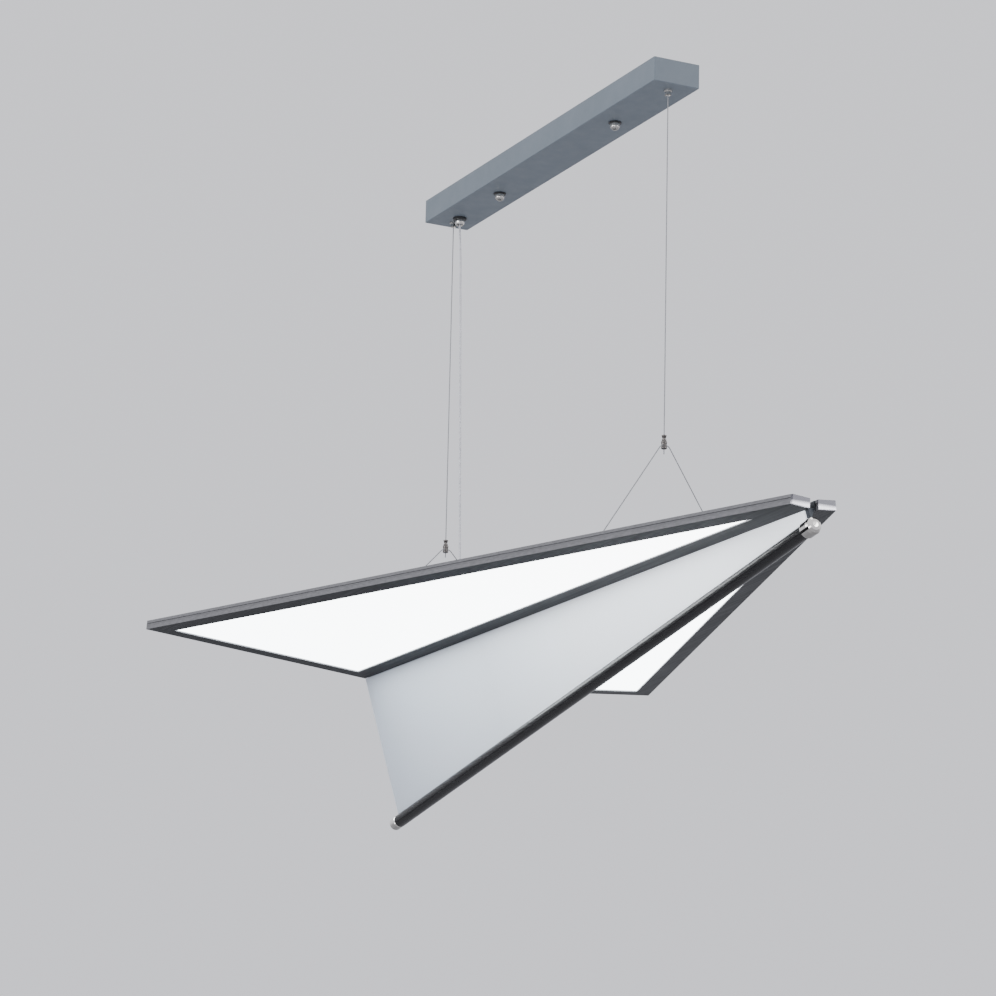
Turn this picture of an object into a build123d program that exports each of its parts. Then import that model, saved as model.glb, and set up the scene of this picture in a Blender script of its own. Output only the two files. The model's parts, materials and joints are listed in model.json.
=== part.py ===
from build123d import *
import os
from math import cos, hypot, pi, radians, sin, sqrt, tan

# Linear LED pendant lamp folded like a paper plane: two luminous wings and a V keel
# under a slim ceiling canopy, hung on two steel wires with a bridle at each end.
# Frame: origin at the centre of the ceiling face, +X to the nose, +Y to port, +Z up.

# Ceiling canopy
CANOPY_LENGTH = 600.0
CANOPY_WIDTH = 60.0
CANOPY_BOTTOM = -30.0
CANOPY_TOP = -1.0
SHELL_WALL = 1.2
BRACKET_LENGTH = 560.0
BRACKET_WIDTH = 44.0
BRACKET_SHEET = 1.5
BRACKET_FLANGE = 8.0
SLOT_SPACING = 400.0
SLOT_LENGTH = 12.0
SLOT_WIDTH = 5.0
SUPPLY_HOLE_RADIUS = 10.0
SUPPLY_HOLE_X = -30.0
TERMINAL_X = -80.0
DRIVER_X = 81.0
STUD_X = 150.0
STUD_RADIUS = 2.5
STUD_END = -37.0
NUT_TOP = -31.25
NUT_RADIUS = 6.0
NUT_HEIGHT = 8.6
NUT_SEAT_RADIUS = 7.8
LOCK_NUT_HEIGHT = 3.0
FERRULE_RADIUS = 3.6
GLAND_THREAD = 6.0
RUNNING_FIT = 0.05
DRIVER_SIZE = (118.0, 36.0, 20.0)
TERMINAL_SIZE = (30.0, 18.0, 12.0)

# Suspension
WIRE_X = 279.0
WIRE_RADIUS = 0.6
PIVOT_Z = -28.0
BALL_RADIUS = 2.6
APEX_Z = -458.0
APEX_OFFSET = 1.9
GRIP_RADIUS = 3.5
GRIP_BOTTOM = -462.0
WIRE_END = -468.0
BRIDLE_BEND = 2.4
BRIDLE_FOOT = {"front": 86.0, "rear": 120.0}
POST_SEAT = 14.2
CABLE_X = -261.0
CABLE_RADIUS = 1.3
CABLE_LANDING_X = -233.0
CABLE_ROUTE = [(CABLE_X, 0, -26.5), (CABLE_X, 0, -44.0), (CABLE_X + 2.6, 0, -62.0),
               (CABLE_X + 4.6, 0, -84.0), (CABLE_LANDING_X - 1.6, 0, -560.0),
               (CABLE_LANDING_X, 0, -582.0), (CABLE_LANDING_X, 0, -602.0)]
GLAND_WAIST = 1.5
GLAND_MOUTH = 4.4
COLLAR_BORE = 4.1
LAMP_GLAND_WAIST = 2.0
LAMP_GLAND_MOUTH = 3.8

# Wings, measured on their lower faces in plan
TAIL_X = -390.0
NOSE_X = 610.0
APEX_X = 725.0
ROOT_TAIL_Y = 53.0
NOSE_OUTER_Y = 27.5
TIP_Y = 350.0
WING_Z = -607.0
DIHEDRAL = radians(5.0)
FRAME_DEPTH = 11.0
WALL = 3.0
BEZEL = 21.0
LIP = 1.5
LEDGE = 10.0
LEDGE_LOW = 8.3
LEDGE_HIGH = 9.7
PLATE_LOW = 9.8
NOSE_PLATE = 2.0
FRAME_GAP = 0.2
PANEL_MARGIN = WALL + FRAME_GAP
LED_MARGIN = 5.0
NOSE_MARGIN = 14.0
DIFFUSER_TOP = 3.5
GUIDE_TOP = 6.5
REFLECTOR_TOP = 6.9
SCREW_X = [-350.0, -110.0, 130.0, 400.0]
STRAP_SCREW_GAP = 6.4

# Wing straps and junction box
STRAP_SHEET = 3.0
STRAP_WIDTH = 22.0
STRAP_REST = 0.06
STRAP_CORNER = 6.0
BOX_SCREW_Y = (-18.0, 18.0)
BOX_LOW_X = -292.0
BOX_HIGH_X = -212.0
BOX_WIDTH = 54.0
BOX_DEPTH = 17.0
BOX_WALL = 1.8
LID_SHEET = 2.0
BOX_TOP = WING_Z + FRAME_DEPTH * cos(DIHEDRAL)

# Keel
KEEL_DEPTH = 175.0
KEEL_SHEET = 2.0
KEEL_EDGE = 4.0
KEEL_END_X = 598.0
TUBE_RADIUS = 8.0
TUBE_BORE = 6.4
TUBE_TAIL_X = -389.0
TUBE_NOSE_X = 606.0
TUBE_ANGLE = KEEL_DEPTH / (APEX_X - TAIL_X)
TUBE_COS = 1.0 / hypot(1.0, TUBE_ANGLE)
GROOVE_ANGLES = (-28.0, -152.0)

SIDES = {"port": 1, "starboard": -1}
ENDS = {"front": 1, "rear": -1}


def save(part, node):
    """Label a finished piece and write it."""
    part.label = node
    export_step(part, f"parts/{node}.step")


def root_y(x):
    """Half the gap between the two wing roots at x."""
    return ROOT_TAIL_Y * (APEX_X - x) / (APEX_X - TAIL_X)


def keel_depth(x):
    """Depth of the keel line below the wing roots at x."""
    return KEEL_DEPTH * (APEX_X - x) / (APEX_X - TAIL_X)


SWEEP = (ROOT_TAIL_Y - root_y(NOSE_X)) / (NOSE_X - TAIL_X)
SWEEP_COS = 1.0 / hypot(1.0, SWEEP)
SWEEP_SIN = SWEEP * SWEEP_COS
V_SLOPE = ROOT_TAIL_Y / KEEL_DEPTH
TILT_LENGTH = hypot(1.0, tan(DIHEDRAL))


def wing_normal(side):
    """Upward normal of one wing."""
    lean = tan(DIHEDRAL) / TILT_LENGTH
    return Vector(-lean * SWEEP_SIN, -side * lean * SWEEP_COS, 1.0 / TILT_LENGTH)


def wing_point(side, x, y, height=0.0):
    """Point over (x, y) of the wing's lower face, raised along the wing's normal."""
    outward = (x - TAIL_X) * SWEEP_SIN + (y - ROOT_TAIL_Y) * SWEEP_COS
    return Vector(x, side * y, WING_Z + outward * tan(DIHEDRAL)) + wing_normal(side) * height


def keel_point(side, x, height):
    """Point of a keel panel's outer face, measured up from the keel line."""
    return Vector(x, side * height * V_SLOPE, WING_Z - keel_depth(x) + height)


def meet(first, second):
    """Crossing of two plan lines, each given by a point and a direction."""
    (ax, ay), (ux, uy) = first
    (bx, by), (vx, vy) = second
    reach = ((bx - ax) * vy - (by - ay) * vx) / (ux * vy - uy * vx)
    return (ax + ux * reach, ay + uy * reach)


# Wing outline in plan: root at the tail, root at the nose, outer nose corner, wing tip.
OUTLINE = [(TAIL_X, ROOT_TAIL_Y), (NOSE_X, root_y(NOSE_X)), (NOSE_X, NOSE_OUTER_Y), (TAIL_X, TIP_Y)]
ROOT, NOSE, OUTER, TAIL = range(4)


def edge_line(edge, inset):
    """One edge of the outline, moved into the wing."""
    (ax, ay), (bx, by) = OUTLINE[edge], OUTLINE[(edge + 1) % 4]
    length = hypot(bx - ax, by - ay)
    shift = (-(by - ay) / length * inset, (bx - ax) / length * inset)
    return ((ax + shift[0], ay + shift[1]), (bx - ax, by - ay))


def inset_outline(root, nose, outer, tail):
    """Corners of the outline with each edge moved in by its own distance."""
    lines = [edge_line(ROOT, root), edge_line(NOSE, nose), edge_line(OUTER, outer), edge_line(TAIL, tail)]
    return [meet(lines[corner - 1], lines[corner]) for corner in range(4)]


def plate(corners, growth, thickness):
    """Flat plate through the corner points, grown towards the given direction."""
    along = corners[1] - corners[0]
    normal = along.cross(corners[2] - corners[0]).normalized()
    if normal.dot(growth) < 0:
        normal = normal * -1
    base = Plane(origin=corners[0], x_dir=along, z_dir=normal)
    flat = [base.to_local_coords(corner) for corner in corners]
    with BuildPart() as body:
        with BuildSketch(base):
            with BuildLine():
                Polyline(*[(point.X, point.Y) for point in flat], close=True)
            make_face()
        extrude(amount=thickness)
    return body.part


def wing_plate(side, corners, low, high):
    """Layer of a wing between two heights above its lower face."""
    points = [wing_point(side, x, y, low) for x, y in corners]
    return plate(points, wing_normal(side), high - low)


def turned(frame, outline):
    """Body of revolution about frame's z axis from (radius, height) corners."""
    with BuildPart() as body:
        with BuildSketch(Plane(origin=frame.origin, x_dir=frame.x_dir, z_dir=-frame.y_dir)):
            with BuildLine():
                Polyline(*outline, close=True)
            make_face()
        revolve(axis=Axis(frame.origin, frame.z_dir))
    return body.part


def upright(x, y=0.0):
    """Vertical axis through (x, y)."""
    return Plane(origin=(x, y, 0))


def on_wing(side, x, y, height):
    """Axis square to a wing's face at a given height."""
    return Plane(origin=wing_point(side, x, y, height), x_dir=(1, 0, 0), z_dir=wing_normal(side))


def pin(frame, radius, low, high):
    """Plain cylinder along frame's z axis."""
    with BuildPart() as body:
        with BuildSketch(frame.offset(low)):
            Circle(radius)
        extrude(amount=high - low)
    return body.part


def cord(points, radii, radius, node):
    """Round cord along straight runs and tangent arcs, with its section area checked."""
    with BuildPart() as body:
        with BuildLine() as route:
            FilletPolyline(*points, radius=radii)
        path = route.wires()[0]
        with BuildSketch(Plane(origin=path @ 0, z_dir=path % 0)):
            Circle(radius)
        sweep(path=path)
    expected = pi * radius**2 * path.length
    print(f"{node}: length {path.length:.1f} mm, radii {[round(r, 1) for r in radii]},",
          f"volume ratio {body.part.volume / expected:.4f}")
    return body.part


def bend_radii(points):
    """Arc at each corner of a hanging cord: 0.45 of the shorter run over tan of half the turn."""
    radii = []
    for before, corner, after in zip(points, points[1:], points[2:]):
        run_in = Vector(*corner) - Vector(*before)
        run_out = Vector(*after) - Vector(*corner)
        half_turn = radians(run_in.get_angle(run_out)) / 2
        radii.append(0.45 * min(run_in.length, run_out.length) / tan(half_turn))
    return radii


# ---------------------------------------------------------------- ceiling canopy
def make_bracket():
    with BuildPart() as bracket:
        with BuildSketch(Plane.XY.offset(-BRACKET_SHEET)):
            RectangleRounded(BRACKET_LENGTH, BRACKET_WIDTH, 3.0)
            with GridLocations(SLOT_SPACING, 0, 2, 1):
                SlotOverall(SLOT_LENGTH, SLOT_WIDTH, mode=Mode.SUBTRACT)
            with Locations((SUPPLY_HOLE_X, 0)):
                Circle(SUPPLY_HOLE_RADIUS, mode=Mode.SUBTRACT)
        extrude(amount=BRACKET_SHEET)
        flange_y = (BRACKET_WIDTH - BRACKET_SHEET) / 2
        with BuildSketch(Plane.XY.offset(-BRACKET_SHEET)):
            with GridLocations(0, 2 * flange_y, 1, 2):
                Rectangle(BRACKET_LENGTH - 8.0, BRACKET_SHEET)
        extrude(amount=-BRACKET_FLANGE)
    return bracket.part


def make_studs():
    with BuildPart() as studs:
        with BuildSketch(Plane.XY.offset(-BRACKET_SHEET)):
            with GridLocations(2 * STUD_X, 0, 2, 1):
                Circle(5.0)
        extrude(amount=-1.2)
        with BuildSketch(Plane.XY.offset(-BRACKET_SHEET)):
            with GridLocations(2 * STUD_X, 0, 2, 1):
                Circle(STUD_RADIUS)
        extrude(amount=STUD_END + BRACKET_SHEET)
    return studs.part


def make_stud_nuts():
    with BuildPart() as nuts:
        with BuildSketch(Plane.XY.offset(CANOPY_BOTTOM + SHELL_WALL)):
            with GridLocations(2 * STUD_X, 0, 2, 1):
                RegularPolygon(4.6, 6)
                Circle(STUD_RADIUS, mode=Mode.SUBTRACT)
        extrude(amount=LOCK_NUT_HEIGHT)
    return nuts.part


def make_shell():
    height = CANOPY_TOP - CANOPY_BOTTOM
    with BuildPart() as shell:
        with BuildSketch(Plane.XY.offset(CANOPY_BOTTOM)):
            RectangleRounded(CANOPY_LENGTH, CANOPY_WIDTH, 1.5)
        extrude(amount=height)
        with BuildSketch(Plane.XY.offset(CANOPY_BOTTOM + SHELL_WALL)):
            Rectangle(CANOPY_LENGTH - 2 * SHELL_WALL, CANOPY_WIDTH - 2 * SHELL_WALL)
        extrude(amount=height, mode=Mode.SUBTRACT)
        chamfer(shell.faces().sort_by(Axis.Z)[0].outer_wire().edges(), 0.5)
        with BuildSketch(Plane.XY.offset(CANOPY_BOTTOM)):
            with GridLocations(2 * STUD_X, 0, 2, 1):
                Circle(STUD_RADIUS + 0.3)
            with GridLocations(2 * WIRE_X, 0, 2, 1):
                Circle(FERRULE_RADIUS)
            with Locations((CABLE_X, 0)):
                Circle(GLAND_THREAD)
        extrude(amount=SHELL_WALL, mode=Mode.SUBTRACT)
    return shell.part


def make_nut_seats():
    with BuildPart() as seats:
        with BuildSketch(Plane.XY.offset(CANOPY_BOTTOM)):
            with GridLocations(2 * STUD_X, 0, 2, 1):
                Circle(NUT_SEAT_RADIUS)
                Circle(STUD_RADIUS + 0.3, mode=Mode.SUBTRACT)
        extrude(amount=NUT_TOP - CANOPY_BOTTOM + RUNNING_FIT)
    return seats.part


def make_cap_nut(x):
    """Domed nut with a blind bore for the stud."""
    bore = STUD_RADIUS + RUNNING_FIT
    base = Plane(origin=(x, 0, 0), x_dir=(1, 0, 0), z_dir=(0, -1, 0))
    tip = NUT_TOP - NUT_HEIGHT
    shoulder = NUT_TOP - 3.4
    crown = (NUT_RADIUS**2 + (shoulder - tip) ** 2) / (2 * (shoulder - tip))
    middle = (crown * sqrt(0.5), tip + crown * (1 - sqrt(0.5)))
    with BuildPart() as nut:
        with BuildSketch(base):
            with BuildLine():
                Polyline((0, tip), (0, STUD_END - 0.4), (bore, STUD_END - 0.4), (bore, NUT_TOP),
                         (NUT_RADIUS - 0.6, NUT_TOP), (NUT_RADIUS, NUT_TOP - 0.6), (NUT_RADIUS, shoulder))
                ThreePointArc((NUT_RADIUS, shoulder), middle, (0, tip))
            make_face()
        revolve(axis=Axis((x, 0, 0), (0, 0, 1)))
    return nut.part


def make_ferrule(x):
    """Threaded bush with a ball seat that flares out below."""
    with BuildPart() as ferrule:
        add(turned(upright(x), [(0, -20), (FERRULE_RADIUS, -20), (FERRULE_RADIUS, CANOPY_BOTTOM),
                                (4.8, CANOPY_BOTTOM), (4.8, -31.8), (FERRULE_RADIUS, -33), (3.7, -36.6),
                                (0, -36.6)]))
        seat = BALL_RADIUS + RUNNING_FIT
        with Locations((x, 0, PIVOT_Z)):
            Sphere(seat, mode=Mode.SUBTRACT)
        add(pin(upright(x), seat + 0.3, PIVOT_Z + 0.5, -19.0), mode=Mode.SUBTRACT)
        add(pin(upright(x), seat, PIVOT_Z, PIVOT_Z + 0.5), mode=Mode.SUBTRACT)
        add(turned(upright(x), [(0, -29.0), (1.6, -29.0), (1.6, -30.0), (3.1, -37), (0, -37)]),
            mode=Mode.SUBTRACT)
    return ferrule.part


def make_ferrule_nuts():
    with BuildPart() as nuts:
        with BuildSketch(Plane.XY.offset(CANOPY_BOTTOM + SHELL_WALL)):
            with GridLocations(2 * WIRE_X, 0, 2, 1):
                RegularPolygon(5.4, 6)
                Circle(FERRULE_RADIUS, mode=Mode.SUBTRACT)
        extrude(amount=LOCK_NUT_HEIGHT)
    return nuts.part


def make_gland():
    """Black flanged gland body with a bore that flares away from the cable's pivot."""
    flare = [(0, -21), (2.4, -21), (GLAND_WAIST, PIVOT_Z), (GLAND_MOUTH, -41), (0, -41)]
    with BuildPart() as gland:
        add(turned(upright(CABLE_X), [(0, -22), (GLAND_THREAD, -22), (GLAND_THREAD, CANOPY_BOTTOM),
                                      (8.5, CANOPY_BOTTOM), (8.5, -32.0), (7.6, -32.8), (0, -32.8)]))
        add(turned(upright(CABLE_X), flare), mode=Mode.SUBTRACT)
    return gland.part


def make_gland_collar():
    """Bright clamping collar below the gland's flange, wide enough for the leaning cable."""
    outline = [(COLLAR_BORE, -32.8), (6.0, -32.8), (6.0, -36.5), (4.9, -39.5), (COLLAR_BORE, -39.5)]
    return turned(upright(CABLE_X), outline)


def make_gland_nut():
    with BuildPart() as nut:
        with BuildSketch(Plane.XY.offset(CANOPY_BOTTOM + SHELL_WALL)):
            with Locations((CABLE_X, 0)):
                RegularPolygon(8.2, 6)
                Circle(GLAND_THREAD, mode=Mode.SUBTRACT)
        extrude(amount=LOCK_NUT_HEIGHT)
    return nut.part


def make_driver():
    """Sealed LED driver with rounded long edges."""
    with BuildPart() as driver:
        with BuildSketch(Plane.XY.offset(-BRACKET_SHEET)):
            with Locations((DRIVER_X, 0)):
                Rectangle(DRIVER_SIZE[0], DRIVER_SIZE[1])
        extrude(amount=-DRIVER_SIZE[2])
        fillet(driver.edges().filter_by(Axis.X).group_by(Axis.Z)[0], 2.0)
    return driver.part


def make_terminal_block():
    """Three-way terminal block with its screw wells."""
    with BuildPart() as block:
        with BuildSketch(Plane.XY.offset(-BRACKET_SHEET)):
            with Locations((TERMINAL_X, 0)):
                Rectangle(TERMINAL_SIZE[0], TERMINAL_SIZE[1])
        extrude(amount=-TERMINAL_SIZE[2])
        with BuildSketch(Plane.XY.offset(-BRACKET_SHEET - TERMINAL_SIZE[2])):
            with Locations((TERMINAL_X, 0)):
                with GridLocations(9.0, 8.0, 3, 2):
                    Circle(1.8)
        extrude(amount=6.0, mode=Mode.SUBTRACT)
    return block.part


# ---------------------------------------------------------------- suspension
def make_ball(x):
    """Swivel ball with an hourglass hole that lets the wire swing."""
    with BuildPart() as ball:
        with Locations((x, 0, PIVOT_Z)):
            Sphere(BALL_RADIUS)
        waist = WIRE_RADIUS + RUNNING_FIT
        mouth = 1.4
        hourglass = [(0, PIVOT_Z - 3), (mouth, PIVOT_Z - 3), (waist, PIVOT_Z),
                     (mouth, PIVOT_Z + 3), (0, PIVOT_Z + 3)]
        add(turned(upright(x), hourglass), mode=Mode.SUBTRACT)
    return ball.part


def make_wire(x):
    """Straight suspension wire with the crimped bead that rests on its ball."""
    with BuildPart() as wire:
        with BuildSketch(Plane(origin=(x, 0, WIRE_END))):
            Circle(WIRE_RADIUS)
        extrude(amount=PIVOT_Z + 6.0 - WIRE_END)
    print(f"suspension wire: length {PIVOT_Z + 6.0 - WIRE_END:.1f} mm, straight")
    return wire.part


def make_bead(x):
    return turned(upright(x), [(WIRE_RADIUS, PIVOT_Z + 2.8), (1.3, PIVOT_Z + 2.8), (1.4, PIVOT_Z + 3.4),
                               (1.4, PIVOT_Z + 5.4), (1.1, PIVOT_Z + 5.8), (WIRE_RADIUS, PIVOT_Z + 5.8)])


def make_gripper(x):
    """Gripper barrel: wire bore down the middle, release bore above, bridle hole across."""
    wire_bore = WIRE_RADIUS + RUNNING_FIT
    outline = [(wire_bore, GRIP_BOTTOM), (2.9, GRIP_BOTTOM), (GRIP_RADIUS, GRIP_BOTTOM + 0.6),
               (GRIP_RADIUS, GRIP_BOTTOM + 8.6), (2.7, GRIP_BOTTOM + 9.8), (2.7, GRIP_BOTTOM + 11.2),
               (2.0, GRIP_BOTTOM + 11.2), (2.0, GRIP_BOTTOM + 5.8), (wire_bore, GRIP_BOTTOM + 5.2)]
    with BuildPart() as gripper:
        add(turned(upright(x), outline))
        with BuildSketch(Plane(origin=(x + APEX_OFFSET, -5, APEX_Z), x_dir=(1, 0, 0), z_dir=(0, 1, 0))):
            Circle(WIRE_RADIUS + 0.1)
        extrude(amount=10.0, mode=Mode.SUBTRACT)
    return gripper.part


def make_sleeve(x):
    """Release sleeve: pressed down, it frees the wire."""
    wire_bore = WIRE_RADIUS + RUNNING_FIT
    base = GRIP_BOTTOM + 7.6
    outline = [(wire_bore, base), (1.9, base), (1.9, base + 5.2), (2.3, base + 5.6),
               (3.0, base + 8.0), (2.6, base + 8.6), (wire_bore, base + 8.6)]
    return turned(upright(x), outline)


def make_bridle(end):
    """Wire from one post, through the gripper's cross hole, to the other post."""
    x = ENDS[end] * WIRE_X
    foot_y = BRIDLE_FOOT[end]
    post_low = on_wing(1, x, foot_y, POST_SEAT + 4.0).origin
    crossing = 4.6
    points = [(x, foot_y, post_low.Z), (x + APEX_OFFSET, crossing, APEX_Z),
              (x + APEX_OFFSET, -crossing, APEX_Z), (x, -foot_y, post_low.Z)]
    return cord(points, [BRIDLE_BEND, BRIDLE_BEND], WIRE_RADIUS, f"{end} bridle")


def make_posts():
    """Four bridle posts, each screwed through a strap into the rib below."""
    outline = [(0, 7.6), (1.5, 7.6), (1.5, POST_SEAT), (5.0, POST_SEAT), (5.0, POST_SEAT + 1.4),
               (3.2, POST_SEAT + 2.0), (3.2, POST_SEAT + 6.0), (2.4, POST_SEAT + 7.2), (0, POST_SEAT + 7.2)]
    with BuildPart() as posts:
        for end, direction in ENDS.items():
            for side in SIDES.values():
                add(turned(on_wing(side, direction * WIRE_X, BRIDLE_FOOT[end], 0), outline))
    return posts.part


def make_cable():
    return cord(CABLE_ROUTE, bend_radii(CABLE_ROUTE), CABLE_RADIUS, "power cable")


# ---------------------------------------------------------------- wings
def outer_y(x):
    """Plan distance of the wing's outer edge from the centre line at x."""
    return NOSE_OUTER_Y + (TIP_Y - NOSE_OUTER_Y) * (NOSE_X - x) / (NOSE_X - TAIL_X)


def plate_screw_spots():
    """Back plate screws along the root and outer ledges."""
    return [(x, root_y(x) + 6.5) for x in SCREW_X] + [(x, outer_y(x) - 6.8) for x in SCREW_X]


def strap_screw_spots(end):
    """Strap screws into the root rail's ledge."""
    x = ENDS[end] * WIRE_X
    return [(x - 5.0, root_y(x) + STRAP_SCREW_GAP), (x + 5.0, root_y(x) + STRAP_SCREW_GAP)]


def drill_wing(side):
    """Holes for every screw and post of one wing, square to it."""
    with BuildPart() as holes:
        for x, y in plate_screw_spots():
            add(pin(on_wing(side, x, y, 0), 1.2, 8.1, 20.0))
        for end, direction in ENDS.items():
            for x, y in strap_screw_spots(end):
                add(pin(on_wing(side, x, y, 0), 1.5, 8.1, 20.0))
            add(pin(on_wing(side, direction * WIRE_X, BRIDLE_FOOT[end], 0), 1.5, 7.6, 20.0))
    return holes.part


def lip_corners(edge):
    """Bezel lip of one rail; the root and outer lips meet on their bisector."""
    whole = inset_outline(0, NOSE_PLATE, 0, 0)
    opening = inset_outline(BEZEL, NOSE_PLATE, BEZEL, BEZEL)
    point = meet(edge_line(ROOT, BEZEL), edge_line(OUTER, BEZEL))
    vertex = meet(edge_line(ROOT, 0), edge_line(OUTER, 0))
    split_end = meet((point, (vertex[0] - point[0], vertex[1] - point[1])), edge_line(NOSE, NOSE_PLATE))
    return {
        ROOT: [whole[0], whole[1], split_end, point, opening[0]],
        OUTER: [whole[2], whole[3], opening[3], point, split_end],
        TAIL: [whole[3], whole[0], opening[0], opening[3]],
    }[edge]


def rail_corners(edge, depth):
    """Strip of one rail along its edge, mitred at the ends."""
    whole = inset_outline(0, NOSE_PLATE, 0, 0)
    inner = inset_outline(depth, NOSE_PLATE, depth, depth)
    following = (edge + 1) % 4
    return [whole[edge], whole[following], inner[following], inner[edge]]


def make_rail(side, edge, grooved):
    """Frame rail: outer wall, bezel lip below and plate ledge above."""
    with BuildPart() as rail:
        add(wing_plate(side, rail_corners(edge, WALL), 0, FRAME_DEPTH))
        add(wing_plate(side, lip_corners(edge), 0, LIP))
        add(wing_plate(side, rail_corners(edge, LEDGE), LEDGE_LOW, LEDGE_HIGH))
        if grooved:
            add(wing_plate(side, rail_corners(edge, 1.0), 4.2, 7.4), mode=Mode.SUBTRACT)
        add(drill_wing(side), mode=Mode.SUBTRACT)
    return rail.part


def make_nose_plates():
    """Bright blunt end plates of both wings."""
    whole = inset_outline(0, 0, 0, 0)
    inner = inset_outline(0, NOSE_PLATE, 0, 0)
    with BuildPart() as plates:
        for side in SIDES.values():
            add(wing_plate(side, [whole[1], whole[2], inner[2], inner[1]], 0, FRAME_DEPTH))
    return plates.part


def make_led_strips():
    """LED strips on the outer rails' walls, facing the light guides' edges."""
    wall_face = inset_outline(WALL, NOSE_MARGIN, WALL, 6.0)
    strip_face = inset_outline(WALL, NOSE_MARGIN, WALL + 1.6, 6.0)
    with BuildPart() as strips:
        for side in SIDES.values():
            add(wing_plate(side, [wall_face[2], wall_face[3], strip_face[3], strip_face[2]], 3.6, 7.6))
    return strips.part


def make_reflector_sheets():
    """White reflector sheets behind the light guides."""
    outline = inset_outline(PANEL_MARGIN, NOSE_MARGIN, LED_MARGIN, PANEL_MARGIN)
    with BuildPart() as sheets:
        for side in SIDES.values():
            add(wing_plate(side, outline, GUIDE_TOP, REFLECTOR_TOP))
    return sheets.part


def make_ribs():
    """Ribs under the back plates at both bridles and in the middle."""
    with BuildPart() as ribs:
        for side in SIDES.values():
            for x in (-WIRE_X, 0, WIRE_X):
                low, high = x - 9.0, x + 9.0
                inner, outer = LEDGE + 0.6, -LEDGE - 0.9
                corners = [(low, root_y(low) + inner), (high, root_y(high) + inner),
                           (high, outer_y(high) + outer), (low, outer_y(low) + outer)]
                add(wing_plate(side, corners, 7.0, PLATE_LOW))
            add(drill_wing(side), mode=Mode.SUBTRACT)
    return ribs.part


def make_back_plate(side):
    outline = inset_outline(WALL + 0.1, NOSE_PLATE, WALL + 0.1, WALL + 0.1)
    with BuildPart() as back:
        add(wing_plate(side, outline, PLATE_LOW, FRAME_DEPTH))
        add(drill_wing(side), mode=Mode.SUBTRACT)
    return back.part


def make_plate_screws():
    """Pan-head screws that hold the back plates on their ledges."""
    outline = [(0, 8.3), (1.2, 8.3), (1.2, FRAME_DEPTH), (2.4, FRAME_DEPTH), (2.2, FRAME_DEPTH + 0.9),
               (1.2, FRAME_DEPTH + 1.4), (0, FRAME_DEPTH + 1.4)]
    with BuildPart() as screws:
        for side in SIDES.values():
            for x, y in plate_screw_spots():
                add(turned(on_wing(side, x, y, 0), outline))
    return screws.part


# ---------------------------------------------------------------- wing straps and junction box
def make_strap(end):
    """Bent strap across both wings that carries the bridle posts."""
    x = ENDS[end] * WIRE_X
    bend_y = root_y(x) - FRAME_DEPTH * sin(DIHEDRAL)
    level = wing_point(1, x, root_y(x), FRAME_DEPTH).Z + STRAP_REST
    reach = BRIDLE_FOOT[end] + 10.0
    rise = (reach - bend_y) * tan(DIHEDRAL) * SWEEP_COS
    lower = [(-reach, level + rise), (-bend_y, level), (bend_y, level), (reach, level + rise)]
    upper = [(y, z + STRAP_SHEET) for y, z in reversed(lower)]
    with BuildPart() as strap:
        with BuildSketch(Plane.YZ.offset(x - STRAP_WIDTH / 2)):
            with BuildLine():
                Polyline(*lower, *upper, close=True)
            make_face()
        extrude(amount=STRAP_WIDTH)
        ends = strap.faces().sort_by(Axis.Y)[0].edges().filter_by(Axis.Z, tolerance=10)
        ends += strap.faces().sort_by(Axis.Y)[-1].edges().filter_by(Axis.Z, tolerance=10)
        fillet(ends, STRAP_CORNER)
        for side in SIDES.values():
            add(drill_wing(side), mode=Mode.SUBTRACT)
        if end == "rear":
            for y in BOX_SCREW_Y:
                add(pin(upright(x, y), 1.5, level - 20, level + 20), mode=Mode.SUBTRACT)
    return strap.part


def make_strap_screws():
    """Screws that hold the straps on the wings and the junction box under the rear strap."""
    seat = FRAME_DEPTH + STRAP_SHEET + 0.12
    outline = [(0, 8.3), (1.5, 8.3), (1.5, seat), (3.0, seat),
               (2.8, seat + 1.2), (1.6, seat + 1.8), (0, seat + 1.8)]
    strap_top = BOX_TOP + STRAP_REST + STRAP_SHEET
    box_outline = [(0, BOX_TOP - 7.0), (1.5, BOX_TOP - 7.0), (1.5, strap_top), (3.0, strap_top),
                   (2.8, strap_top + 1.2), (1.6, strap_top + 1.8), (0, strap_top + 1.8)]
    with BuildPart() as screws:
        for end in ENDS:
            for side in SIDES.values():
                for x, y in strap_screw_spots(end):
                    add(turned(on_wing(side, x, y, 0), outline))
        for y in BOX_SCREW_Y:
            add(turned(upright(-WIRE_X, y), box_outline))
    return screws.part


def box_plan(margin):
    """Plan rectangle of the junction box, pulled in by a margin."""
    return (BOX_HIGH_X - BOX_LOW_X - 2 * margin, BOX_WIDTH - 2 * margin)


def make_junction_box():
    """Junction box between the wing roots, open at the top, with two screw bosses."""
    centre_x = (BOX_LOW_X + BOX_HIGH_X) / 2
    floor = BOX_TOP - LID_SHEET - BOX_DEPTH
    with BuildPart() as box:
        with BuildSketch(Plane(origin=(centre_x, 0, floor))):
            RectangleRounded(*box_plan(0), 3.0)
        extrude(amount=BOX_DEPTH)
        with BuildSketch(Plane(origin=(centre_x, 0, floor + BOX_WALL))):
            RectangleRounded(*box_plan(BOX_WALL), 1.2)
        extrude(amount=BOX_DEPTH, mode=Mode.SUBTRACT)
        with BuildSketch(Plane(origin=(-WIRE_X, 0, floor))):
            with GridLocations(0, BOX_SCREW_Y[1] - BOX_SCREW_Y[0], 1, 2):
                Circle(4.0)
        extrude(amount=BOX_DEPTH)
        for y in BOX_SCREW_Y:
            add(pin(upright(-WIRE_X, y), 1.5, BOX_TOP - 7.0, BOX_TOP), mode=Mode.SUBTRACT)
    return box.part


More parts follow.
